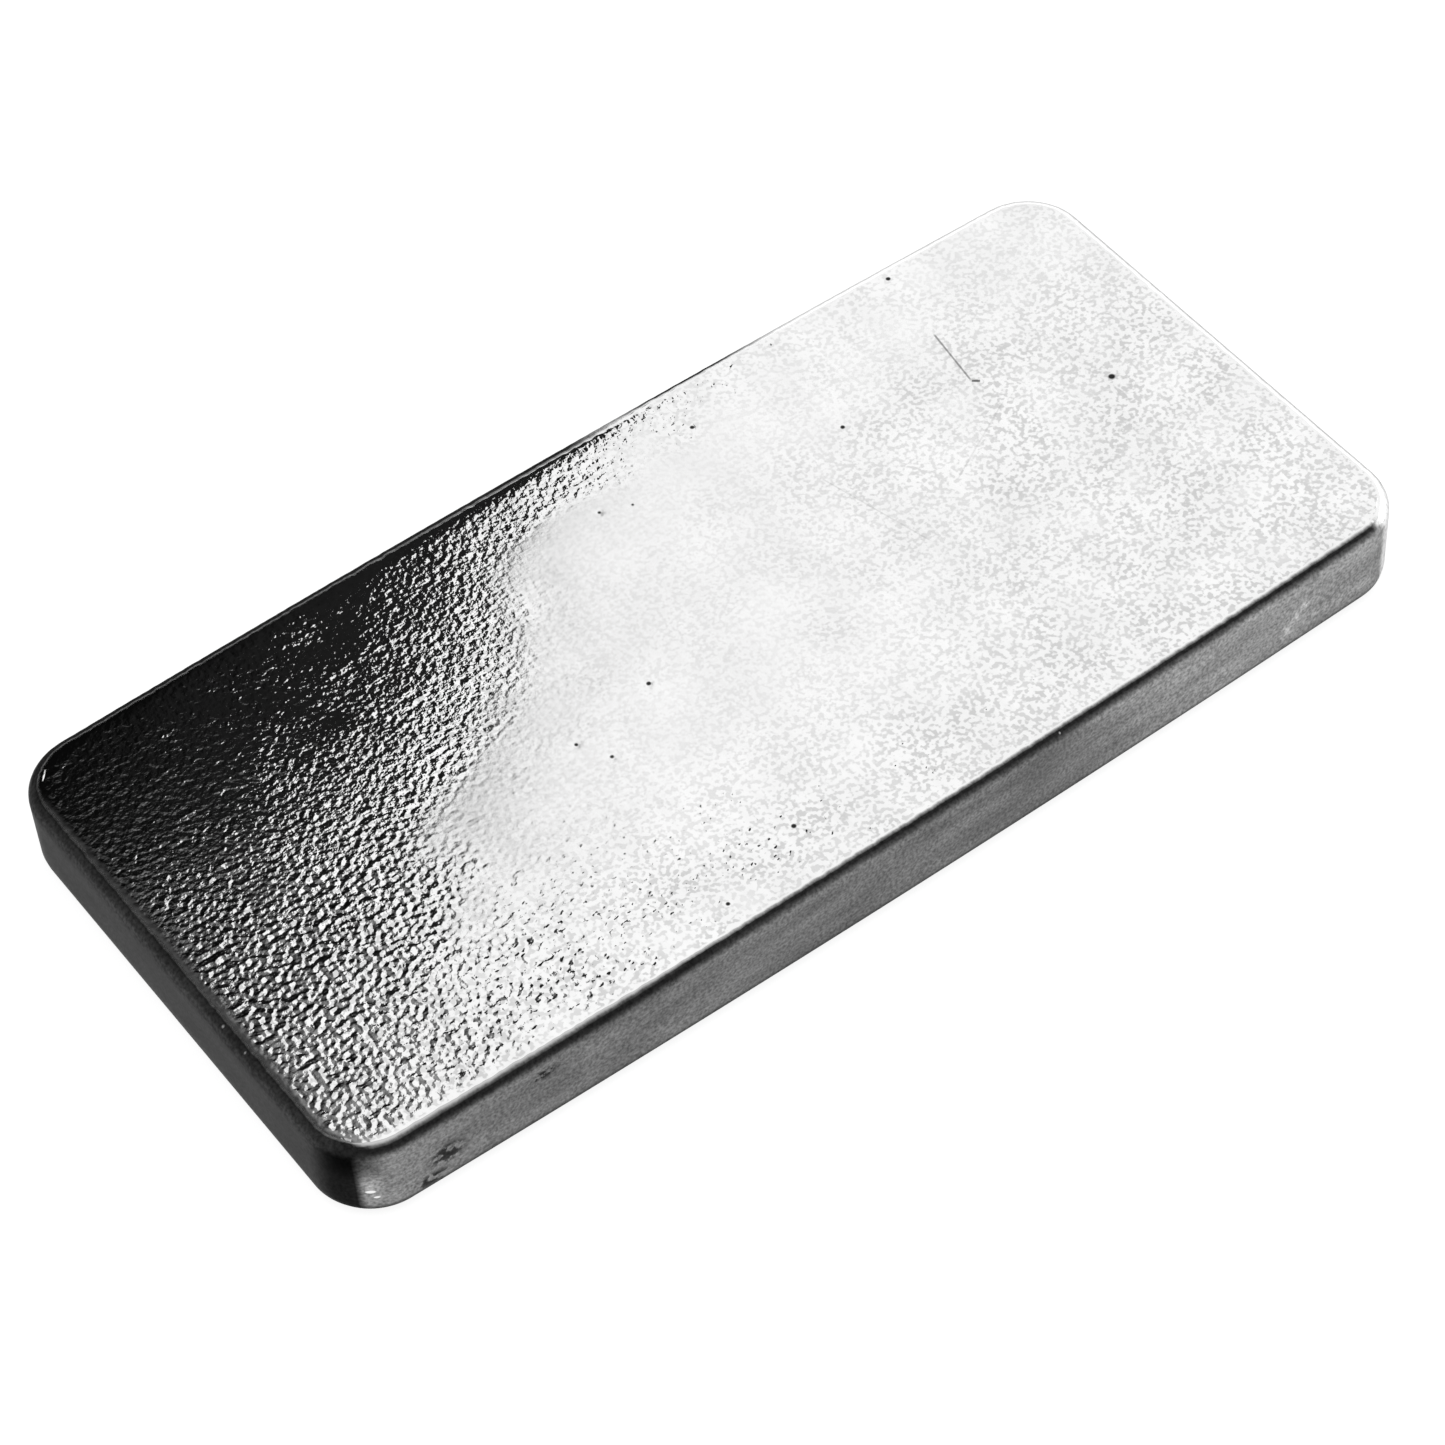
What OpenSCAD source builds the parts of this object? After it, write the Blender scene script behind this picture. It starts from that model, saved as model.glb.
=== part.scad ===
// Flat metal ingot with bowed long sides, rounded corners and rounded edges, lying on its base

/* [Body] */
// Overall length, between the two straight ends
bar_length = 91.8; // [80:0.2:100]
// Overall width across the middle, where the long sides bow out most
bar_width = 43.9; // [38:0.2:50]
// Thickness from the base to the top face
bar_thickness = 7.5; // [6:0.1:10]
// How far each long side bows out between the centres of its two corners
side_bow = 0.5; // [0.25:0.25:1]

/* [Edges] */
// Radius of the four upright corners
corner_radius = 4.8; // [4:0.1:8]
// Radius of the rounded edge round the top face
top_edge_radius = 1; // [0.4:0.1:2]
// Radius of the rounded edge round the base
base_edge_radius = 1.4; // [0.4:0.1:2.4]

/* [Hidden] */
silver = [0.76, 0.76, 0.77];
// Pieces of a full turn for the edge section, the corners and the long shallow bow
section_facets = 48;
corner_facets = 96;
bow_facets = 1440;
half_length = bar_length / 2;
half_width = bar_width / 2;
// Corner centres, along the length and across it, and the circle that the bowed side follows
corner_x = half_length - corner_radius;
inner_bow_radius = (corner_x * corner_x + side_bow * side_bow) / (2 * side_bow);
bow_radius = inner_bow_radius + corner_radius;
bow_centre = half_width - bow_radius;
bow_to_corner = inner_bow_radius - side_bow;
corner_y = bow_centre + bow_to_corner;
// The sweep that makes one bowed side, in whole degrees and well past both ends of the bar
bow_sweep = 2 * ceil(3 * asin(half_length / (bow_radius - bar_width)));
// A point where the bowed side runs into the corner, carried well outside the bar
seam_reach = 1.01;
seam_x = corner_x * seam_reach;
seam_y = bow_centre + bow_to_corner * seam_reach;

// Edge section from the inner distance to the outer one, rounded at the top and at the base
module edge_section(inner, outer) {
    difference() {
        translate([inner, 0])
            square([outer - inner, bar_thickness]);
        translate([outer - top_edge_radius, bar_thickness - top_edge_radius])
            difference() {
                square(top_edge_radius * 2);
                circle(r = top_edge_radius, $fn = section_facets);
            }
        translate([outer - base_edge_radius, base_edge_radius])
            difference() {
                translate([0, -base_edge_radius * 2])
                    square(base_edge_radius * 2);
                circle(r = base_edge_radius, $fn = section_facets);
            }
    }
}

// The same edge with its inner part carried past the top and the base, so that it trims nothing but the edge
module trim_section(inner, outer) {
    edge_section(inner, outer);
    translate([inner, bar_thickness / 2])
        square([outer - top_edge_radius - inner, bar_thickness]);
    translate([inner, -bar_thickness / 2])
        square([outer - base_edge_radius - inner, bar_thickness]);
}

// Everything inside the right end, with the top face and the base
module inside_end() {
    translate([0, bar_width, 0])
        rotate([90, 0, 0])
            linear_extrude(height = bar_width * 2)
                edge_section(-bar_length, half_length);
}

// Everything inside the left end, taller than the bar
module inside_other_end() {
    mirror([1, 0, 0])
        translate([0, bar_width, 0])
            rotate([90, 0, 0])
                linear_extrude(height = bar_width * 2)
                    trim_section(-bar_length, half_length);
}

// Everything inside the back long side, swept along its shallow bow
module inside_bow() {
    translate([0, bow_centre, 0])
        rotate_extrude(angle = bow_sweep, start = 90 - bow_sweep / 2, $fn = bow_facets)
            trim_section(bow_radius - bar_width * 2, bow_radius);
}

// What is taken off at the far right corner, outside its rounded edge
module corner_cut() {
    difference() {
        translate([0, 0, -bar_thickness])
            linear_extrude(height = bar_thickness * 3)
                polygon([
                    [corner_x, corner_y],
                    [corner_x + corner_radius * 2, corner_y],
                    [corner_x + corner_radius * 2, seam_y],
                    [seam_x, seam_y]
                ]);
        translate([corner_x, corner_y, 0])
            rotate_extrude($fn = corner_facets)
                trim_section(0, corner_radius);
    }
}

// One solid bar: two ends and two bowed sides, less what lies outside the rounded corners
module ingot() {
    color(silver)
        difference() {
            intersection() {
                inside_end();
                inside_other_end();
                inside_bow();
                mirror([0, 1, 0])
                    inside_bow();
            }
            for (turn = [0, 180])
                rotate([0, 0, turn]) {
                    corner_cut();
                    mirror([1, 0, 0])
                        corner_cut();
                }
        }
}

ingot();
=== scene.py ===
import bpy
import numpy as np
from mathutils import Matrix, Vector


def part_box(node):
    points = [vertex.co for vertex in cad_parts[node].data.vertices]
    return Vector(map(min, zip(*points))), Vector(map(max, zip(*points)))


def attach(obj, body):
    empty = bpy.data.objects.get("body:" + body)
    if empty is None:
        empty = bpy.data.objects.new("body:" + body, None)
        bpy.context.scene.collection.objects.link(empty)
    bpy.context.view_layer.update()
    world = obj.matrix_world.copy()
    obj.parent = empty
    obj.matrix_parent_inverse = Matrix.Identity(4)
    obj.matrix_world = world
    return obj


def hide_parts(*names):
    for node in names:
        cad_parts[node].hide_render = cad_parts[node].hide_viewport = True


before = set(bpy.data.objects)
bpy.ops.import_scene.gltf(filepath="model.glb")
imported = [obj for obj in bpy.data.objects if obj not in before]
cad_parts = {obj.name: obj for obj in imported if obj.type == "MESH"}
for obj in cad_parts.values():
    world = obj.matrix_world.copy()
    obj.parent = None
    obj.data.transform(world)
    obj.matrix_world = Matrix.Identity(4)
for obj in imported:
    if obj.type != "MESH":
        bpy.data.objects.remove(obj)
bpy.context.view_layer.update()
low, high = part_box("ingot")
print("frame loaded")

mm = 0.001

# The bar, in millimetres. Its three overall sizes come from the CAD piece.
bar = {
    "length": (high[0] - low[0]) / mm,
    "width": (high[1] - low[1]) / mm,
    "thickness": (high[2] - low[2]) / mm,
    "cornerRadius": 4.8,      # upright corners
    "sideBow": 0.5,           # rise of a long side between its corner centres
    "topEdge": 1.0,           # radius round the top face
    "baseEdge": 1.4,          # radius round the base
    "rimDrop": 0.035,         # the top face rolls down this much at its rim
    "rimReach": 0.9,          # over this distance
    "cellsLong": 384,         # cells of the top face along the bar
    "cellsWide": 180,         # and across it
    "arcSteps": 400,          # fine steps of an arc before it is cut into cells
    "topTurns": (8, 17, 27, 38, 50, 62, 76, 90),   # rings round the top edge, in degrees
    "sideRings": 8,           # rings down the upright side
    "baseTurns": (20, 40, 58, 75, 90),             # rings round the base edge
    "baseShare": 4,           # top cells to one cell of the base
    "baseMargin": 0.7,        # the base's own cells start this far inside its edge
}


# One side of the outline: arcs, each with its centre, radius, first and last angle in radians, joined by
# straight lines and cut into equal steps of length. Gives x, y and the angle of the outward normal, without
# the last point.
def pathSide(arcs, cells):
    x, y, turn = [], [], []
    for cx, cy, radius, first, last in arcs:
        angle = np.linspace(first, last, bar["arcSteps"])
        x.append(cx + radius * np.cos(angle))
        y.append(cy + radius * np.sin(angle))
        turn.append(angle)
    x, y, turn = np.concatenate(x), np.concatenate(y), np.concatenate(turn)
    run = np.concatenate([[0], np.cumsum(np.hypot(np.diff(x), np.diff(y)))])
    at = np.linspace(0, run[-1], cells + 1)[:-1]
    return np.stack([np.interp(at, run, x), np.interp(at, run, y), np.interp(at, run, turn)])


# The whole outline, anticlockwise from the middle of the front right corner. A long side is the arc that
# rises by the bow between its two corner centres; an end is straight.
def outline(cellsLong, cellsWide):
    r = bar["cornerRadius"]
    cx = bar["length"] / 2 - r
    inner = (cx * cx + bar["sideBow"] ** 2) / (2 * bar["sideBow"])
    yc = bar["width"] / 2 - r - inner
    cy = yc + inner - bar["sideBow"]
    half = np.pi
    mid = (half / 2 - np.arcsin(cx / inner)) / 2
    return np.concatenate([
        pathSide([(cx, -cy, r, -mid, 0), (cx, cy, r, 0, mid)], cellsWide),
        pathSide([(cx, cy, r, mid, 2 * mid),
                  (0, yc, inner + r, 2 * mid, half - 2 * mid),
                  (-cx, cy, r, half - 2 * mid, half - mid)], cellsLong),
        pathSide([(-cx, cy, r, half - mid, half), (-cx, -cy, r, half, half + mid)], cellsWide),
        pathSide([(-cx, -cy, r, half + mid, half + 2 * mid),
                  (0, -yc, inner + r, half + 2 * mid, 2 * half - 2 * mid),
                  (cx, -cy, r, 2 * half - 2 * mid, 2 * half - mid)], cellsLong),
    ], axis=1)


# Fills a closed loop of points with a grid: the blend of its four sides less the blend of its four corners.
def fillLoop(loop, nx, ny):
    closed = np.concatenate([loop, loop[:, :1]], axis=1)
    right = closed[:, :ny + 1]
    back = closed[:, ny:ny + nx + 1][:, ::-1]
    left = closed[:, ny + nx:2 * ny + nx + 1][:, ::-1]
    front = closed[:, 2 * ny + nx:]
    u = np.linspace(0, 1, nx + 1)[None, None, :]
    v = np.linspace(0, 1, ny + 1)[None, :, None]
    sides = (1 - v) * front[:, None, :] + v * back[:, None, :]
    sides = sides + (1 - u) * left[:, :, None] + u * right[:, :, None]
    corners = ((1 - u) * (1 - v) * front[:, 0, None, None] + u * (1 - v) * front[:, -1, None, None]
               + (1 - u) * v * back[:, 0, None, None] + u * v * back[:, -1, None, None])
    return sides - corners


# The grid's own border as one loop, in the outline's order.
def borderLoop(grid):
    return np.concatenate([grid[:-1, -1], grid[-1, :0:-1], grid[:0:-1, 0], grid[0, :-1]])


# The four-sided faces of a grid of point numbers, row by row, each wound along its row first or, turned over,
# down its column first.
def gridFaces(grid, turnedOver=False):
    faces = np.stack([grid[:-1, :-1], grid[:-1, 1:], grid[1:, 1:], grid[1:, :-1]], axis=-1).reshape(-1, 4)
    return faces[:, [0, 3, 2, 1]] if turnedOver else faces


# 0 below the first value, 1 above the second, straight between.
def ramp(first, second, x):
    return np.clip((x - first) / (second - first), 0, 1)


# The same with both ends eased: three times the square less twice the cube.
def smooth(first, second, x):
    t = ramp(first, second, x)
    return t * t * (3 - 2 * t)


# The first value moved towards the second by a share of the way.
def mix(first, second, share):
    return first + (second - first) * share


# Grain of the cast top face, in millimetres. The first four are random fields, each given by its seed, its
# wavelength, the width of its band and the step of its raster.
grain = {
    "grains": (11, 0.95, 0.3, 0.1),   # the worm-like grains
    "swell": (13, 9.0, 0.5, 0.5),     # long shallow waves of the face
    "patches": (14, 9.0, 0.6, 0.5),   # slow changes from place to place
    "rim": (15, 1.1, 0.5, 0.2),       # raggedness of the rim
    "fieldMargin": 4.0,       # the fields reach this far past the bar
    "height": 0.0024,         # spread of the grains up and down
    "swellHeight": 0.002,
    "rimRagged": 0.035,       # how far the rim wanders in and out
    "rimLimit": 2.0,          # and at most this many times that
    "sink": 0.012,            # the grains lie this far below the full thickness
    "reliefFade": 0.5,        # their relief fades out this near the rim
    "bumpFade": 0.6,          # and their finest part here
    "worn": 0.15,             # share of the grain left where the face is worn smooth
    "wornFrom": (-25.5, -15.0),       # the worn part starts at this span of x less y
    "wornLobe": (6.5, -1.5, 3.0),     # reaches further left by the first, round this y, over this distance
    "wornUpper": (3.0, 10.0, 15.0),   # and by the first over this span of y
    "wornFront": (-18.0, -5.0),       # fades to the front over this span of y
    "wornBack": (18.5, 15.5),         # and stops before the back
    "wander": 0.9,            # how far its border wanders
    "wanderBack": 0.4,        # share of that at the back
    "rightGrain": 0.25,       # grain that comes back towards the right end
    "rightSpan": (8.0, 28.0),         # over this span of x
    "calm": 0.62,             # grain missing towards the back
    "calmSpan": (-8.0, 14.0),         # over this span of y
    "frontCalm": 0.28,        # and towards the front
    "frontSpan": (-5.0, -15.0),
    "uneven": 0.15,           # share by which the grain changes with the patches
    "fleckWorn": 0.62,        # dark flecks missing in the worn part
    "fleckRight": (0.0, 34.0),        # they come back over this span of x
    "fleckBack": 0.45,        # flecks missing towards the back
    "fleckSpan": (6.0, 16.0),         # over this span of y
    "baseGrain": 0.6,         # grain of the base
}


# Random field over the bar on a fine raster: white noise kept only near one wavelength, bell-shaped in the
# logarithm of the wave number, with unit spread.
def randomField(seed, wave, band, step):
    rng = np.random.default_rng(seed)
    nx = int((bar["length"] + 2 * grain["fieldMargin"]) / step)
    ny = int((bar["width"] + 2 * grain["fieldMargin"]) / step)
    waveNumber = np.hypot(np.fft.fftfreq(nx, step)[None, :], np.fft.fftfreq(ny, step)[:, None])
    keep = np.exp(-0.5 * (np.log(np.maximum(waveNumber, 1e-6) * wave) / band) ** 2)
    field = np.fft.ifft2(np.fft.fft2(rng.standard_normal((ny, nx))) * keep).real
    return field / field.std(), step


# Value of a named random field at points x, y, by straight blending of the four raster cells around each.
def sampleField(name, x, y):
    field, step = randomField(*grain[name])
    ny, nx = field.shape
    gx = np.clip((x + bar["length"] / 2 + grain["fieldMargin"]) / step, 0, nx - 1.001)
    gy = np.clip((y + bar["width"] / 2 + grain["fieldMargin"]) / step, 0, ny - 1.001)
    ix, iy = gx.astype(int), gy.astype(int)
    fx, fy = gx - ix, gy - iy
    return ((field[iy, ix] * (1 - fx) + field[iy, ix + 1] * fx) * (1 - fy)
            + (field[iy + 1, ix] * (1 - fx) + field[iy + 1, ix + 1] * fx) * fy)


# Marks, in millimetres: pits as x, y and radius, scratches as start, end, width and darkness, the rest as
# middle and reach
marks = {
    "pits": [(37.1, 1.9, 0.3), (-6.1, -16.7, 0.22), (-13.5, -19.2, 0.18), (-6.4, -0.4, 0.2),
             (-12.2, -4.1, 0.16), (-13.5, -1.7, 0.16), (30.6, 20.1, 0.22), (18.8, 10.3, 0.2),
             (10.3, 17.2, 0.2), (0.2, 14.7, 0.15), (2.5, 13.8, 0.12)],
    "pitDepth": 0.03,
    "pitDark": (0.6, 1.1),    # a pit is dark inside the first share of its radius and fades to the second
    "scratches": [((29.7, 13.5), (28.9, 8.0), 0.1, 0.6), ((28.9, 8.0), (29.4, 7.6), 0.16, 0.8),
                  ((14.5, 7.5), (17.0, -2.5), 0.09, 0.16), ((22.0, 1.0), (29.5, 5.0), 0.09, 0.14)],
    "scratchEnd": 0.9,        # a scratch fades past this share of its half length
    "scratchSide": 0.4,       # and past this share of its width
    "scratchHeight": (0.5, 0.6),      # and this far off the top face
    "markDark": 0.03,         # light left in the darkest mark
    "scuffs": [((-38.3, -21.5, 3.5), (2.1, 1.6, 1.5)), ((-39.6, -21.4, 1.7), (2.2, 1.6, 0.9)),
               ((-30.5, -21.8, 5.6), (1.6, 1.5, 0.7))],      # rough dark places of the front side
    "scuffFade": 0.7,
    "scuffDark": 0.85,
    "nicks": [((-43.8, -20.6, 2.95), (0.5, 0.5, 0.22)), ((-43.5, -20.8, 2.3), (0.3, 0.4, 0.14)),
              ((13.1, -21.75, 7.3), (0.16, 0.35, 0.16)), ((42.4, -20.5, 7.3), (0.22, 0.22, 0.3)),
              ((-44.9, 18.4, 6.9), (0.2, 0.45, 0.3)), ((-45.3, -6.4, 7.2), (0.3, 0.25, 0.2)),
              ((-45.3, -9.1, 7.2), (0.3, 0.2, 0.2)), ((-45.2, -12.6, 7.2), (0.3, 0.3, 0.2))],   # bright
    "nickFade": 0.5,
    # Lighter places of the front side; the one at the front left corner is a painted highlight.
    "lighterPlaces": [((33.8, -21.6, 2.8), (0.9, 1.6, 1.1)), ((34.7, -21.6, 3.7), (0.9, 1.6, 1.1)),
                ((35.5, -21.6, 4.4), (0.8, 1.6, 0.9)), ((-43.7, -20.6, 3.6), (1.2, 1.2, 2.2))],   # lighter
    "lighterFade": 1.0,
    "lighterBy": 0.6,
}


# Depth of the pits at each point: a bell round each.
def pitDepth(x, y):
    depth = np.zeros_like(x)
    for px, py, radius in marks["pits"]:
        depth = depth + marks["pitDepth"] * np.exp(-((x - px) ** 2 + (y - py) ** 2) / radius ** 2)
    return depth


# Distance of each top point from the rim: to the nearest end or bowed side, and in a corner to its arc.
def rimDistance(x, y):
    endways = bar["length"] / 2 - bar["topEdge"] - np.abs(x)
    bow = bar["sideBow"] * (x / (bar["length"] / 2)) ** 2
    sideways = bar["width"] / 2 - bar["topEdge"] - bow - np.abs(y)
    radius = bar["cornerRadius"] - bar["topEdge"]
    inCorner = (endways < radius) & (sideways < radius)
    toArc = radius - np.hypot(radius - endways, radius - sideways)
    away = np.maximum(np.where(inCorner, toArc, np.minimum(endways, sideways)), 0)
    away[[0, -1], :] = 0
    away[:, [0, -1]] = 0
    return away


# Share of wear at each top point: right of a slanting border that has a lobe and wanders with the patches,
# fading to the front, stopped before the back and less towards the right end.
def wearShare(x, y, patches):
    wander = grain["wander"] * patches
    lobe, lobeY, lobeWide = grain["wornLobe"]
    upper, upperFrom, upperTo = grain["wornUpper"]
    further = lobe * np.exp(-((y - lobeY) / lobeWide) ** 2) + upper * smooth(upperFrom, upperTo, y)
    wear = smooth(*grain["wornFrom"], x - y + wander + further) * smooth(*grain["wornFront"], y + wander)
    wear = wear * smooth(*grain["wornBack"], y + grain["wanderBack"] * wander)
    return wear * (1 - grain["rightGrain"] * smooth(*grain["rightSpan"], x))


# Share of grain at each top point: little where worn, less towards the back and the front, a little uneven.
def grainShare(y, wear, patches):
    left = 1 - (1 - grain["worn"]) * wear
    left = left * (1 - grain["calm"] * smooth(*grain["calmSpan"], y))
    left = left * (1 - grain["frontCalm"] * smooth(*grain["frontSpan"], y))
    return left * (1 + grain["uneven"] * patches)


# Share of dark flecks at each top point: fewer where worn, except to the right, and fewer towards the back.
def fleckShare(x, y, wear, patches):
    left = 1 - grain["fleckWorn"] * wear * (1 - smooth(*grain["fleckRight"], x))
    left = left * (1 - grain["uneven"] + grain["uneven"] * patches)
    return np.clip(left * (1 - grain["fleckBack"] * smooth(*grain["fleckSpan"], y)), 0, 1)


nx, ny = bar["cellsLong"], bar["cellsWide"]
thick, topR, baseR = bar["thickness"], bar["topEdge"], bar["baseEdge"]
ring = outline(nx, ny)
ringX, ringY, turn = ring
outX, outY = np.cos(turn), np.sin(turn)

# top face
ragged = np.clip(sampleField("rim", ringX, ringY), -grain["rimLimit"], grain["rimLimit"])
rimInset = topR + grain["rimRagged"] * ragged
topX, topY = fillLoop(np.stack([ringX - rimInset * outX, ringY - rimInset * outY]), nx, ny)
grains, swell, patches = [sampleField(name, topX, topY) for name in ("grains", "swell", "patches")]
inset = rimDistance(topX, topY)
wear = wearShare(topX, topY, patches)
coarseness = grainShare(topY, wear, patches)
relief = grain["height"] * coarseness * grains + grain["swellHeight"] * swell - grain["sink"]
roll = bar["rimDrop"] * (1 - np.minimum(inset / bar["rimReach"], 1)) ** 2
sunk = relief * smooth(0, grain["reliefFade"], inset) - pitDepth(topX, topY) - roll
topZ = thick + np.minimum(sunk, 0)
print("top face worked out")

# rings down the edge: round top edge, upright side, round base edge
topTurn, baseTurn = np.radians(bar["topTurns"]), np.radians(bar["baseTurns"])
sideRings = bar["sideRings"]
ringInset = np.concatenate([
    (1 - np.sin(topTurn))[:, None] * rimInset,
    np.zeros((sideRings, ringX.size)),
    np.repeat(baseR * (1 - np.cos(baseTurn))[:, None], ringX.size, axis=1),
])
ringZ = np.concatenate([
    thick - bar["rimDrop"] - (topR - bar["rimDrop"]) * (1 - np.cos(topTurn)),
    np.linspace(thick - topR, baseR, sideRings + 1)[1:],
    baseR * (1 - np.sin(baseTurn)),
])
ringTilt = np.degrees(np.concatenate([topTurn, np.full(sideRings, np.pi / 2), np.pi / 2 + baseTurn]))

# base
share = bar["baseShare"]
baseCells = nx // share, ny // share
loopX, loopY, loopTurn = ring[:, ::share]
baseInset = baseR + bar["baseMargin"]
baseLoop = np.stack([loopX - baseInset * np.cos(loopTurn), loopY - baseInset * np.sin(loopTurn)])
baseX, baseY = fillLoop(baseLoop, *baseCells)

# all points, top first, then the rings, then the base
ringGrid = np.broadcast_arrays(ringX - ringInset * outX, ringY - ringInset * outY, ringZ[:, None])
grids = (topX, topY, topZ), ringGrid, (baseX, baseY, np.zeros_like(baseX))
points = np.concatenate([np.stack(grid, axis=-1).reshape(-1, 3) for grid in grids])
topIndex = np.arange(topX.size).reshape(topX.shape)
ringIndex = topIndex.size + np.arange(ringInset.size).reshape(ringInset.shape)
baseIndex = topIndex.size + ringIndex.size + np.arange(baseX.size).reshape(baseX.shape)

# faces; at the base one cell meets several of the last ring's
loops = np.concatenate([borderLoop(topIndex)[None, :], ringIndex])
ringFaces = gridFaces(np.concatenate([loops, loops[:, :1]], axis=1), turnedOver=True)
baseBorder = borderLoop(baseIndex)
lastRing = loops[-1].reshape(-1, share)
seamFaces = np.stack([lastRing[:, 0], baseBorder, np.roll(baseBorder, -1), np.roll(lastRing[:, 0], -1)]
                     + [lastRing[:, k] for k in range(share - 1, 0, -1)], axis=-1)
faces = [gridFaces(topIndex), ringFaces, seamFaces, gridFaces(baseIndex, turnedOver=True)]

# Base colour of each part of the skin: bright silver on top, grey on the sides. The grey is a duller skin;
# its tone from side to side, lighter or darker by the way each side faces, is painted reflection and shade.
# The spans are of the outline's outward x or y, of its turn in degrees, or of x in millimetres.
shade = {
    "silver": 0.93,
    "front": 0.185,
    "frontLeft": 0.25,        # front side near its left end
    "frontLeftSpan": (-20.0, -40.0),
    "frontRight": 0.32,       # and near its right end
    "frontRightSpan": (10.0, 28.0),
    "back": 0.25,
    "longSide": (0.2, 0.7),           # outward y over which a long side takes over from a corner
    "rightEnd": 0.3,
    # Painted highlight: the front right corner is painted near white, a painted reflection of white
    # surroundings.
    "rightCornerPaintedLight": 0.95,
    "rightTurn": (0.36, 0.52),        # outward x where the front right corner turns bright
    "rightStop": (0.9, 0.985),        # and where it is grey again
    "leftEnd": 0.055,
    "leftFrom": (120.0, 175.0),       # turn over which the left end takes over
    # Painted shade: the half of the front left corner towards the left end is painted dark.
    "cornerPaintedShade": 0.012,      # the half of the front left corner that turns to the left end
    "cornerFrom": (182.0, 205.0),     # turn over which it gets dark
    "cornerTurn": 229.0,      # and where that dark half stops
    "cornerStop": (-5.0, 4.0),        # over this span round it
    "base": 0.3,
}


# Painted shade of the upright side round the outline, on its grey skin: each side's tone by the way it faces,
# lighter to both ends of the front, a painted highlight on the front right corner, and the painted dark half
# of the front left corner.
def sideShades(turned):
    front = mix(shade["front"], shade["frontLeft"], smooth(*shade["frontLeftSpan"], ringX))
    front = mix(front, shade["frontRight"], smooth(*shade["frontRightSpan"], ringX))
    side = front * smooth(*shade["longSide"], -outY) + shade["back"] * smooth(*shade["longSide"], outY)
    right = np.where(outY < 0, shade["rightCornerPaintedLight"], shade["rightEnd"])
    right = mix(right, shade["rightEnd"], smooth(*shade["rightStop"], outX))
    side = mix(side, right, smooth(*shade["rightTurn"], outX))
    left = mix(shade["leftEnd"], shade["cornerPaintedShade"], smooth(*shade["cornerFrom"], turned))
    before, after = shade["cornerStop"]
    dark = 1 - smooth(shade["cornerTurn"] + before, shade["cornerTurn"] + after, turned)
    return mix(side, left, dark * smooth(*shade["leftFrom"], turned))


# The dark line along the rounded top edge: painted shade, a painted reflection of dark surroundings.
# Tilt is 0 degrees on the top face and 90 on the side.
paintedEdgeLine = {
    "front": 0.028,
    "back": 0.015,
    "left": 0.042,
    "backFrom": (0.0, 0.5),           # outward y over which the back's shade takes over
    "leftFrom": (0.75, 0.97),         # the same for the left end
    "rightEnd": (0.2, 0.5),           # outward x over which the line stops at the right end
    "backSide": (0.3, 0.7),           # outward y of the back
    "backStop": (2.0, 10.0),          # x over which the line stops along the back
    "start": 10.0,            # tilt at which it starts
    "blend": 12.0,            # and over which it darkens
    "lateSpan": (-8.0, -26.0),        # x over which it starts later near the left end of the front
    "late": 8.0,
    "earlySpan": (0.45, 0.85),        # outward x over which it starts earlier at the left end
    "early": 7.0,
    "earlyBlend": 4.0,        # and darkens sooner by this much
    "stop": 38.0,             # tilt at which it gives way to the side
    "stopBlend": 34.0,
    "lateStop": 20.0,         # later near the left end of the front
    "backLateStop": 4.0,      # and along the back
    "backLateSpan": (0.2, 0.6),
    "thinStop": (25.0, 15.0),         # x over which the back's thin line ends
    "thinTilt": (12.0, 24.0),
    "dullTilt": (12.0, 22.0),         # the left part of the back's edge gets matt
    # Painted shade: near the front left corner the side under the line is painted dark too.
    "cornerReach": 32.0,      # turn over which the side under the line stays dark past the dark half
    "cornerFrom": (195.0, 215.0),
    "cornerBelow": (4.0, 1.2),        # distance below the top over which it does
    "cornerTilt": (40.0, 80.0),
    "cornerPaintedShade": 0.8,
    # Painted shade: the rounded base edge is painted darker towards the bottom.
    "baseTilt": (88.0, 114.0),        # the base edge gets darker over this tilt
    "basePaintedShade": 0.8,
    "brightSkin": 0.8,        # share of the side's dull skin missing where there is no line
}

# Along the edge: where there is no line, where it starts late and early, and where it is matt.
turned = np.degrees(turn) % 360
tilt = ringTilt[:, None]
onBack = smooth(*paintedEdgeLine["backSide"], outY)
bright = np.maximum(smooth(*paintedEdgeLine["rightEnd"], outX), onBack * smooth(*paintedEdgeLine["backStop"], ringX))
matt = onBack * (1 - bright)
late = smooth(*paintedEdgeLine["lateSpan"], ringX) * smooth(*shade["longSide"], -outY)
early = np.maximum(matt, smooth(*paintedEdgeLine["earlySpan"], -outX))
start = paintedEdgeLine["start"] + paintedEdgeLine["late"] * late * (1 - early) - paintedEdgeLine["early"] * early
stop = paintedEdgeLine["stop"] + paintedEdgeLine["lateStop"] * late
stop = stop + paintedEdgeLine["backLateStop"] * smooth(*paintedEdgeLine["backLateSpan"], outY)
onLine = ramp(start, start + paintedEdgeLine["blend"] - paintedEdgeLine["earlyBlend"] * early, tilt)
offLine = ramp(stop, stop + paintedEdgeLine["stopBlend"], tilt)
thinLine = onBack * smooth(*paintedEdgeLine["thinStop"], ringX) * bright * smooth(*paintedEdgeLine["thinTilt"], tilt)
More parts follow.
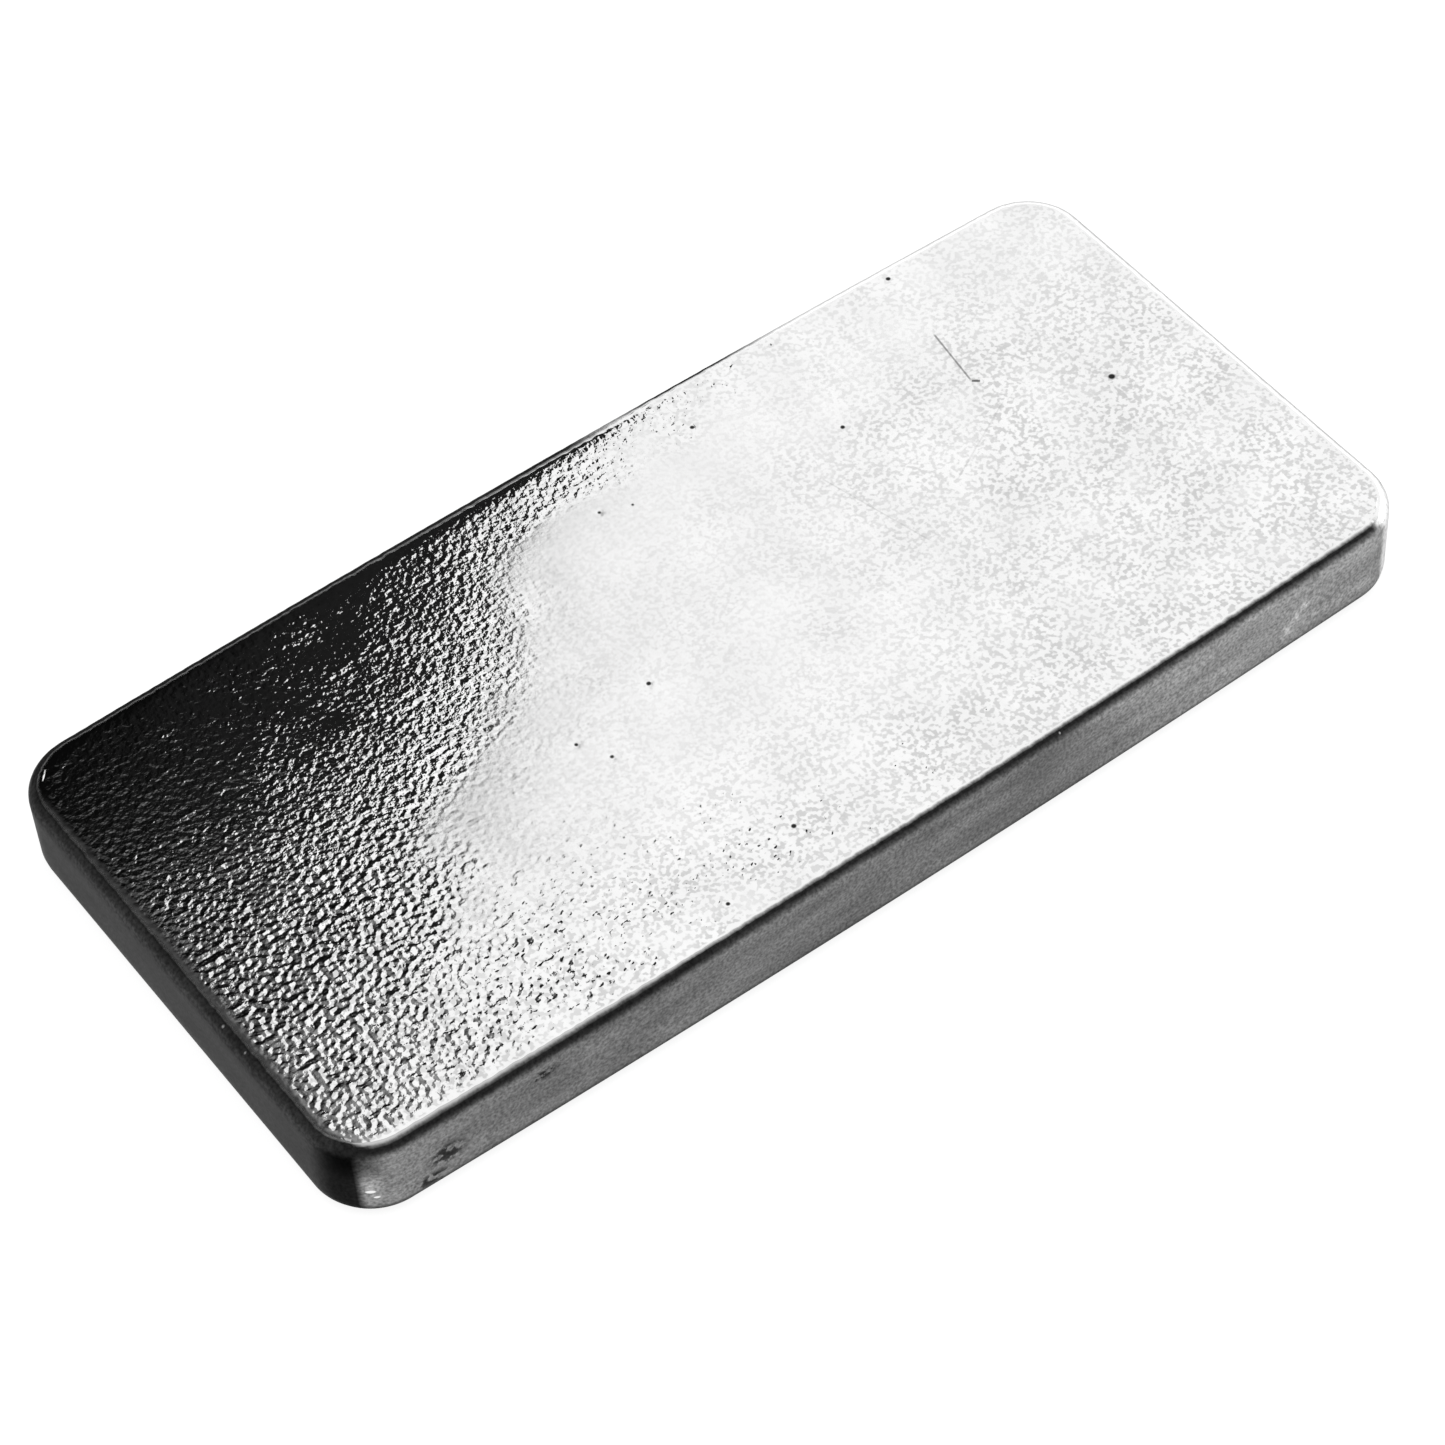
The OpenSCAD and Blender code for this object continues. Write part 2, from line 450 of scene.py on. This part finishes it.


# Shade of all the rings: silver moved to the painted dark line and then to the side by their shares.
# Further right along the back the painted line is thin and low, under it the front left corner keeps its
# painted shade for a while, and the base edge is painted darker.
def ringShades():
    dark = mix(paintedEdgeLine["front"], paintedEdgeLine["back"], smooth(*paintedEdgeLine["backFrom"], outY))
    dark = mix(dark, paintedEdgeLine["left"], smooth(*paintedEdgeLine["leftFrom"], -outX))
    rings = mix(shade["silver"], mix(dark, shade["silver"], bright), onLine)
    rings = mix(rings, paintedEdgeLine["back"], thinLine)
    rings = mix(rings, sideShades(turned), offLine)
    past = smooth(shade["cornerTurn"] + paintedEdgeLine["cornerReach"], shade["cornerTurn"], turned)
    near = past * smooth(*paintedEdgeLine["cornerFrom"], turned)
    near = near * smooth(*paintedEdgeLine["cornerBelow"], thick - ringZ)[:, None]
    rings = rings * (1 - paintedEdgeLine["cornerPaintedShade"] * near * smooth(*paintedEdgeLine["cornerTilt"], tilt))
    return rings * (1 - paintedEdgeLine["basePaintedShade"] * smooth(*paintedEdgeLine["baseTilt"], tilt))


# One value for each point in the order of the points; each argument is a number or an array.
def allPoints(top, rings, base):
    pairs = (top, topIndex), (rings, ringIndex), (base, baseIndex)
    return np.concatenate([np.broadcast_to(values, index.shape).ravel() for values, index in pairs])


skin = onLine * (1 - paintedEdgeLine["brightSkin"] * bright * (1 - offLine))
dull = np.maximum(matt * ramp(*paintedEdgeLine["dullTilt"], tilt), thinLine) * (1 - offLine)
pointValues = {
    "shade": allPoints(shade["silver"], ringShades(), shade["base"]),
    "skin": allPoints(0.0, skin, 1.0),
    "dull": allPoints(0.0, dull, 0.0),
    "fleck": allPoints(fleckShare(topX, topY, wear, patches), 0.0, 1.0),
    "worn": allPoints(wear, 0.0, 0.0),
    "grain": allPoints(coarseness * smooth(0, grain["bumpFade"], inset), 0.0, grain["baseGrain"]),
}

mesh = bpy.data.meshes.new("ingotSurface")
mesh.from_pydata((points * mm).tolist(), [], sum([group.tolist() for group in faces], []))
mesh.polygons.foreach_set("use_smooth", np.ones(len(mesh.polygons), dtype=bool))
for name, values in pointValues.items():
    mesh.attributes.new(name, "FLOAT", "POINT").data.foreach_set("value", values.astype(np.float32))
mesh.update()
ingot = bpy.data.objects.new("ingotSurface", mesh)
bpy.context.scene.collection.objects.link(ingot)
print("bar built:", sum(len(p.vertices) - 2 for p in mesh.polygons), "triangles")

# Silver: a shiny grained top, a duller streaked skin on the sides. Scales are per metre.
metal = {
    "largeScale": 2150.0,     # the grain's large and fine parts
    "fineScale": 4300.0,
    "grainDepth": 0.000033,
    "peakShare": 8.0,         # how much steeper the highest and lowest places are
    "grainBack": (-0.007, 0.006),     # the grain gets finer over this span of y
    "largeShare": (1.0, 0.82),        # its large part, in front and behind
    "fineShare": (0.28, 0.58),        # and its fine part
    "fleckScale": 2700.0,     # flecks from a noise on the top, a little darker
    "fleckSpan": (0.41, 0.53),
    "fleckDark": 0.7,
    "brush": (1600.0, 130.0, 1.0),    # faint marks across the worn part
    "brushSpan": (0.975, 1.02),
    "cloudScale": 160.0,      # slow cloudy patches of the worn face
    "cloudNoise": (0.35, 0.65),
    "cloudSpan": (0.97, 1.04),
    "noiseSpan": (0.3, 0.7),          # values that most of a noise lies between
    "glance": 0.5,            # how bright the metal is at a glancing view
    "roughness": 0.035,
    "wornRoughness": 0.13,
    "wornSpan": (0.2, 1.0),           # wear over which the face gets rougher
    "skinRoughness": 0.4,
    "streak": (160.0, 160.0, 700.0),  # level streaks of the sides
    "streakSpan": (0.78, 1.22),
    "speckleScale": 4200.0,
    "speckleSpan": (0.6, 1.4),
    "scuffScale": 1500.0,
    "scuffSpan": (0.44, 0.53),
}


# A new node of the given kind with its settings.
def nodeOf(tree, kind, **settings):
    node = tree.nodes.new(kind)
    for name, value in settings.items():
        setattr(node, name, value)
    return node


# Puts a number into a socket, or joins another socket to it.
def put(tree, value, socket):
    if isinstance(value, (int, float)):
        socket.default_value = value
    else:
        tree.links.new(value, socket)


# A math node: the operation on its values, each a number or a socket.
def calc(tree, operation, *values):
    node = nodeOf(tree, "ShaderNodeMath", operation=operation)
    for value, socket in zip(values, node.inputs):
        put(tree, value, socket)
    return node.outputs[0]


# The product, or another operation, of several values taken one after the other.
def chain(tree, values, operation="MULTIPLY"):
    total = values[0]
    for value in values[1:]:
        total = calc(tree, operation, total, value)
    return total


# The first value moved towards the second by a share of the way.
def blend(tree, amount, first, second):
    node = nodeOf(tree, "ShaderNodeMix", data_type="FLOAT")
    for value, index in ((amount, 0), (first, 2), (second, 3)):
        put(tree, value, node.inputs[index])
    return node.outputs[0]


# Straight map of a value from one span to another, eased at both ends if asked. A limit of a span is a
# number or a socket.
def span(tree, value, before, after, kind="LINEAR"):
    node = nodeOf(tree, "ShaderNodeMapRange", interpolation_type=kind)
    for name, limit in zip(("Value", "From Min", "From Max", "To Min", "To Max"), (value, *before, *after)):
        put(tree, limit, node.inputs[name])
    return node.outputs["Result"]


# Noise at a scale per metre on the bar's own coordinates.
def noise(tree, place, scale, detail=0.0):
    node = nodeOf(tree, "ShaderNodeTexNoise")
    tree.links.new(place, node.inputs["Vector"])
    node.inputs["Scale"].default_value = scale
    node.inputs["Detail"].default_value = detail
    return node.outputs["Fac"]


# Noise with its own scale along each axis.
def stretchedNoise(tree, place, scales, detail):
    stretch = nodeOf(tree, "ShaderNodeMapping")
    stretch.inputs["Scale"].default_value = scales
    tree.links.new(place, stretch.inputs["Vector"])
    return noise(tree, stretch.outputs[0], 1.0, detail)


# Coordinates of a mark: from its middle, turned with it and counted in its own reach.
def markPlace(tree, place, middle, reach=(1.0, 1.0, 1.0), angle=0.0):
    local = nodeOf(tree, "ShaderNodeMapping", vector_type="TEXTURE")
    local.inputs["Location"].default_value = tuple(v * mm for v in middle)
    local.inputs["Rotation"].default_value = (0, 0, angle)
    local.inputs["Scale"].default_value = tuple(v * mm for v in reach)
    tree.links.new(place, local.inputs["Vector"])
    return local.outputs[0]


# X, Y and Z of a place.
def axesOf(tree, place):
    axes = nodeOf(tree, "ShaderNodeSeparateXYZ")
    tree.links.new(place, axes.inputs[0])
    return axes.outputs


# 1 in the middle of a rounded place, 0 outside its reach, for the strongest of the list; fade is the share of
# the reach over which it fades.
def roundMask(tree, place, items, fade):
    parts = []
    for middle, reach in items:
        away = nodeOf(tree, "ShaderNodeVectorMath", operation="LENGTH")
        tree.links.new(markPlace(tree, place, middle, reach), away.inputs[0])
        parts.append(span(tree, away.outputs["Value"], (1.0 - fade, 1.0), (1.0, 0.0), "SMOOTHSTEP"))
    return chain(tree, parts, "MAXIMUM")


# 1 inside a pit, 0 outside, by the distance from its middle.
def pitMask(tree, place, x, y, radius):
    away = nodeOf(tree, "ShaderNodeVectorMath", operation="DISTANCE")
    tree.links.new(place, away.inputs[0])
    away.inputs[1].default_value = (x * mm, y * mm, thick * mm)
    inner, outer = marks["pitDark"]
    limits = (radius * inner * mm, radius * outer * mm)
    return span(tree, away.outputs["Value"], limits, (1.0, 0.0), "SMOOTHSTEP")


# The darkness inside a scratch, 0 outside: a long flat box in its own turned coordinates, in millimetres.
def scratchMask(tree, place, first, last, width, dark):
    middle = ((first[0] + last[0]) / 2, (first[1] + last[1]) / 2, thick)
    rise, run = last[1] - first[1], last[0] - first[0]
    half = float(np.hypot(run, rise)) / 2
    axes = axesOf(tree, markPlace(tree, place, middle, angle=np.arctan2(rise, run)))
    limits = (
        ("X", (half * marks["scratchEnd"], half), (1.0, 0.0), "LINEAR"),
        ("Y", (width * marks["scratchSide"], width), (dark, 0.0), "SMOOTHSTEP"),
        ("Z", marks["scratchHeight"], (1.0, 0.0), "LINEAR"),
    )
    return chain(tree, [span(tree, calc(tree, "ABSOLUTE", axes[name]), *rest) for name, *rest in limits])


# Tone of the top: darker flecks from a noise, over slow clouds and faint marks across.
def topTone(tree, place, flecks):
    fleckNoise = span(tree, noise(tree, place, metal["fleckScale"], 1.0), metal["fleckSpan"], (1.0, 0.0))
    fleckTone = span(tree, calc(tree, "MULTIPLY", fleckNoise, flecks), (0.0, 1.0), (1.0, metal["fleckDark"]))
    clouds = noise(tree, place, metal["cloudScale"], 3.0)
    clouds = span(tree, clouds, metal["cloudNoise"], metal["cloudSpan"])
    brush = stretchedNoise(tree, place, metal["brush"], 2.0)
    return chain(tree, [fleckTone, clouds, span(tree, brush, metal["noiseSpan"], metal["brushSpan"])])


# Tone of the sides: level streaks and fine speckle, brighter at the lighter places, one of them a painted
# highlight on the front left corner, and darker at the scuffs.
def sideTone(tree, place):
    streaks = stretchedNoise(tree, place, metal["streak"], 3.0)
    streaks = span(tree, streaks, metal["noiseSpan"], metal["streakSpan"])
    speckle = noise(tree, place, metal["speckleScale"], 2.0)
    speckle = span(tree, speckle, metal["noiseSpan"], metal["speckleSpan"])
    rough = noise(tree, place, metal["scuffScale"], 3.0)
    rough = span(tree, rough, metal["scuffSpan"], (0.0, marks["scuffDark"]), "SMOOTHSTEP")
    scuffs = calc(tree, "MULTIPLY", roundMask(tree, place, marks["scuffs"], marks["scuffFade"]), rough)
    lighterPlaces = roundMask(tree, place, marks["lighterPlaces"], marks["lighterFade"])
    lighter = calc(tree, "MULTIPLY_ADD", lighterPlaces, marks["lighterBy"], 1.0)
    return chain(tree, [streaks, speckle, lighter, calc(tree, "SUBTRACT", 1.0, scuffs)])


# Normal with the finest grain: a large noise with steepened peaks and a fine one, both about zero, with their
# shares by y, times the share of grain.
def grainNormal(tree, place, amount):
    y = axesOf(tree, place)["Y"]
    large = calc(tree, "SUBTRACT", noise(tree, place, metal["largeScale"]), 0.5)
    large = calc(tree, "MULTIPLY_ADD", chain(tree, [large, large, large]), metal["peakShare"], large)
    large = calc(tree, "MULTIPLY", large, span(tree, y, metal["grainBack"], metal["largeShare"]))
    fine = calc(tree, "SUBTRACT", noise(tree, place, metal["fineScale"], 1.0), 0.5)
    both = calc(tree, "MULTIPLY_ADD", fine, span(tree, y, metal["grainBack"], metal["fineShare"]), large)
    bump = nodeOf(tree, "ShaderNodeBump")
    bump.inputs["Strength"].default_value = 1
    bump.inputs["Distance"].default_value = metal["grainDepth"]
    tree.links.new(calc(tree, "MULTIPLY", both, amount), bump.inputs["Height"])
    return bump.outputs["Normal"]


# Cast silver: the points' shade, which holds the painted shade and highlight of sides and edges, times the
# tone of top or side, dark in the marks and bright in the nicks. The worn part is a little rougher than the
# grain, and the skin of the sides is rougher still.
def silverMaterial():
    material = bpy.data.materials.new("castSilver")
    material.use_nodes = True
    tree = material.node_tree
    shader = tree.nodes["Principled BSDF"]
    shader.inputs["Specular IOR Level"].default_value = 0
    shader.inputs["Specular Tint"].default_value = (metal["glance"],) * 3 + (1,)
    place = nodeOf(tree, "ShaderNodeTexCoord").outputs["Object"]
    part = {name: nodeOf(tree, "ShaderNodeAttribute", attribute_name=name).outputs["Fac"]
            for name in pointValues}
    tone = blend(tree, part["skin"], topTone(tree, place, part["fleck"]), sideTone(tree, place))
    dents = [pitMask(tree, place, *pit) for pit in marks["pits"]]
    dents = dents + [scratchMask(tree, place, *scratch) for scratch in marks["scratches"]]
    marked = span(tree, chain(tree, dents, "MAXIMUM"), (0.0, 1.0), (1.0, marks["markDark"]))
    nicks = roundMask(tree, place, marks["nicks"], marks["nickFade"])
    value = chain(tree, [part["shade"], tone, marked])
    value = calc(tree, "MAXIMUM", value, calc(tree, "MULTIPLY", nicks, shade["silver"]))
    grey = nodeOf(tree, "ShaderNodeCombineColor")
    for socket in grey.inputs:
        tree.links.new(value, socket)
    tree.links.new(grey.outputs[0], shader.inputs["Base Color"])
    tree.links.new(calc(tree, "SUBTRACT", 1.0, part["dull"]), shader.inputs["Metallic"])
    rough = span(tree, part["worn"], metal["wornSpan"], (metal["roughness"], metal["wornRoughness"]))
    tree.links.new(blend(tree, part["skin"], rough, metal["skinRoughness"]), shader.inputs["Roughness"])
    tree.links.new(grainNormal(tree, place, part["grain"]), shader.inputs["Normal"])
    return material


ingot.data.materials.append(silverMaterial())
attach(ingot, "root")
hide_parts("ingot")
print("silver put on")

# Stage, in metres: white floor, a softbox behind to the right whose picture lies on the top face, two white
# cards, a lamp overhead and plain grey surroundings
stage = {
    "floorSize": 4.0,
    "floorDrop": 0.00002,     # the floor lies this far under the bar
    "floorColour": 0.17,
    "floorLift": 0.88,
    "surround": 0.6,
    "boxToward": (0.3553, 0.5406, 0.7626),   # from the bar to the softbox
    "boxAway": 0.6,
    "boxSize": (1.3, 0.6),
    "boxStrength": 1.0,
    "boxEdge": 0.0475,        # left edge of the lit part, to the left of its middle
    "boxLean": (-0.05, -0.02),        # below its middle the edge moves right over this span of heights
    "boxLeanBy": 0.016,       # by this much
    "boxSpreadRise": (0.004, 0.046),  # above it the edge moves left over this span
    "boxSpread": 0.028,       # by this much
    "boxFoot": (-0.09, -0.13),        # below this span of heights it is lit further to the left
    "boxFootReach": 0.07,     # by this much
    "boxSoftRise": (0.015, 0.075),    # the edge gets softer over this span
    "boxSoft": (0.0015, 0.008),       # half width of its edge, low and high
    "boxDimRise": (0.025, 0.1),       # light left of the edge rises over this span
    "boxDim": (0.012, 0.28),          # from the first to the second
    "boxDimLeft": (-0.14, -0.095),    # and gets darker over this span to the left
    "boxDimShare": (0.25, 1.0),
    "cards": [((1.0, 0.34), (0.4, 0.48, 0.17)), ((0.8, 0.5), (0.62, -0.05, 0.25))],   # size and place
    "cardStrength": 0.9,
    "lampSize": 2.0,
    "lampPower": 30,
    "lampHeight": 1.6,
}


# A flat rectangle round its own middle, facing up.
def flatMesh(name, width, depth):
    flat = bpy.data.meshes.new(name)
    w, d = width / 2, depth / 2
    flat.from_pydata([(-w, -d, 0), (w, -d, 0), (w, d, 0), (-w, d, 0)], [], [(0, 1, 2, 3)])
    obj = bpy.data.objects.new(name, flat)
    bpy.context.scene.collection.objects.link(obj)
    return obj


# The matrix of an object at a place whose own x, y and z point along the three given directions.
def placed(x, y, z, at):
    return Matrix((*(zip(x, y, z, at)), (0, 0, 0, 1)))


# Floor: matt, and lifted to white where the camera, a mirror or a clear piece sees it.
def floorMaterial():
    material = bpy.data.materials.new("white floor")
    material.use_nodes = True
    tree = material.node_tree
    shader = tree.nodes["Principled BSDF"]
    shader.inputs["Base Color"].default_value = (stage["floorColour"],) * 3 + (1,)
    shader.inputs["Roughness"].default_value = 1
    shader.inputs["Specular IOR Level"].default_value = 0
    shader.inputs["Emission Color"].default_value = (1, 1, 1, 1)
    path = nodeOf(tree, "ShaderNodeLightPath").outputs
    rays = [path["Is Camera Ray"], path["Is Glossy Ray"], path["Is Transmission Ray"]]
    lift = calc(tree, "MULTIPLY", chain(tree, rays, "MAXIMUM"), stage["floorLift"])
    tree.links.new(lift, shader.inputs["Emission Strength"])
    return material


# Softbox: lit to the right of its left edge, dim to the left. The edge is the sum of its lean, its spread and
# its foot, each by the height. Higher up it gets softer and the dim part lighter.
def boxMaterial():
    material = bpy.data.materials.new("softbox")
    material.use_nodes = True
    tree = material.node_tree
    tree.nodes.remove(tree.nodes["Principled BSDF"])
    axes = axesOf(tree, nodeOf(tree, "ShaderNodeTexCoord").outputs["Object"])
    x, y = axes["X"], axes["Y"]
    lean = span(tree, y, stage["boxLean"], (stage["boxEdge"] - stage["boxLeanBy"], stage["boxEdge"]))
    spread = span(tree, y, stage["boxSpreadRise"], (0.0, stage["boxSpread"]))
    foot = span(tree, y, stage["boxFoot"], (0.0, stage["boxFootReach"]))
    inside = chain(tree, [lean, spread, foot, x], "ADD")
    soft = span(tree, y, stage["boxSoftRise"], stage["boxSoft"], "SMOOTHSTEP")
    dim = span(tree, y, stage["boxDimRise"], stage["boxDim"], "SMOOTHSTEP")
    dim = calc(tree, "MULTIPLY", dim, span(tree, x, stage["boxDimLeft"], stage["boxDimShare"]))
    limits = (calc(tree, "MULTIPLY", soft, -1.0), soft)
    glow = nodeOf(tree, "ShaderNodeEmission")
    light = span(tree, inside, limits, (dim, stage["boxStrength"]), "SMOOTHSTEP")
    tree.links.new(light, glow.inputs["Strength"])
    tree.links.new(glow.outputs[0], tree.nodes["Material Output"].inputs["Surface"])
    return material


# Plain white card with the same light all over.
def cardMaterial():
    material = bpy.data.materials.new("whiteCard")
    material.use_nodes = True
    shader = material.node_tree.nodes["Principled BSDF"]
    shader.inputs["Emission Color"].default_value = (1, 1, 1, 1)
    shader.inputs["Emission Strength"].default_value = stage["cardStrength"]
    return material


floor = flatMesh("floor", stage["floorSize"], stage["floorSize"])
floor.location.z = -stage["floorDrop"]
floor.data.materials.append(floorMaterial())

skyward = Vector((0, 0, 1))
toward = Vector(stage["boxToward"]).normalized()
rightward = toward.cross(skyward).normalized()
softbox = flatMesh("softbox", *stage["boxSize"])
softboxAt = skyward * (thick * mm) + toward * stage["boxAway"]
softbox.matrix_world = placed(rightward, rightward.cross(toward), -toward, softboxAt)
softbox.data.materials.append(boxMaterial())
softbox.visible_camera = False

white = cardMaterial()
for size, at in stage["cards"]:
    card = flatMesh("whiteCard", *size)
    facing = Vector((-at[0], -at[1], 0)).normalized()
    card.matrix_world = placed(skyward.cross(facing), skyward, facing, at)
    card.data.materials.append(white)
    card.visible_camera = False

world = bpy.data.worlds.new("plain surround")
world.use_nodes = True
world.node_tree.nodes["Background"].inputs["Color"].default_value = (stage["surround"],) * 3 + (1,)
bpy.context.scene.world = world

lampData = bpy.data.lights.new("overhead", "AREA")
lampData.shape = "DISK"
lampData.size = stage["lampSize"]
lampData.energy = stage["lampPower"]
lamp = bpy.data.objects.new("overhead", lampData)
lamp.location = (0, 0, stage["lampHeight"])
lamp.visible_glossy = False
lamp.visible_camera = False
bpy.context.scene.collection.objects.link(lamp)

# Camera: looks down on the front left corner with a long lens
shot = {
    "azimuth": -33.2043,      # degrees round the bar
    "elevation": 50.7154,
    "roll": -4.3563,
    "shift": (0.1274 * mm, 1.344 * mm),
    "distance": 328.131 * mm,
    "sensor": 36,
    "lens": 114.81,
    "nearest": 0.01,
}


# The camera's axes: back points from the bar to the camera, right and up are then turned by the roll.
def cameraMatrix():
    a, e, r = np.radians([shot["azimuth"], shot["elevation"], shot["roll"]])
    back = Vector((np.sin(a) * np.cos(e), -np.cos(a) * np.cos(e), np.sin(e)))
    level = Vector((np.cos(a), np.sin(a), 0))
    rise = back.cross(level)
    right = level * np.cos(r) + rise * np.sin(r)
    up = rise * np.cos(r) - level * np.sin(r)
    at = back * shot["distance"] - right * shot["shift"][0] - up * shot["shift"][1]
    return placed(right, up, back, at)


cameraData = bpy.data.cameras.new("camera")
cameraData.sensor_width = shot["sensor"]
cameraData.lens = shot["lens"]
cameraData.clip_start = shot["nearest"]
cameraData.dof.use_dof = False
camera = bpy.data.objects.new("camera", cameraData)
camera.matrix_world = cameraMatrix()
bpy.context.scene.collection.objects.link(camera)
bpy.context.scene.camera = camera
bpy.context.scene.view_settings.view_transform = "Standard"
print("stage and camera set")
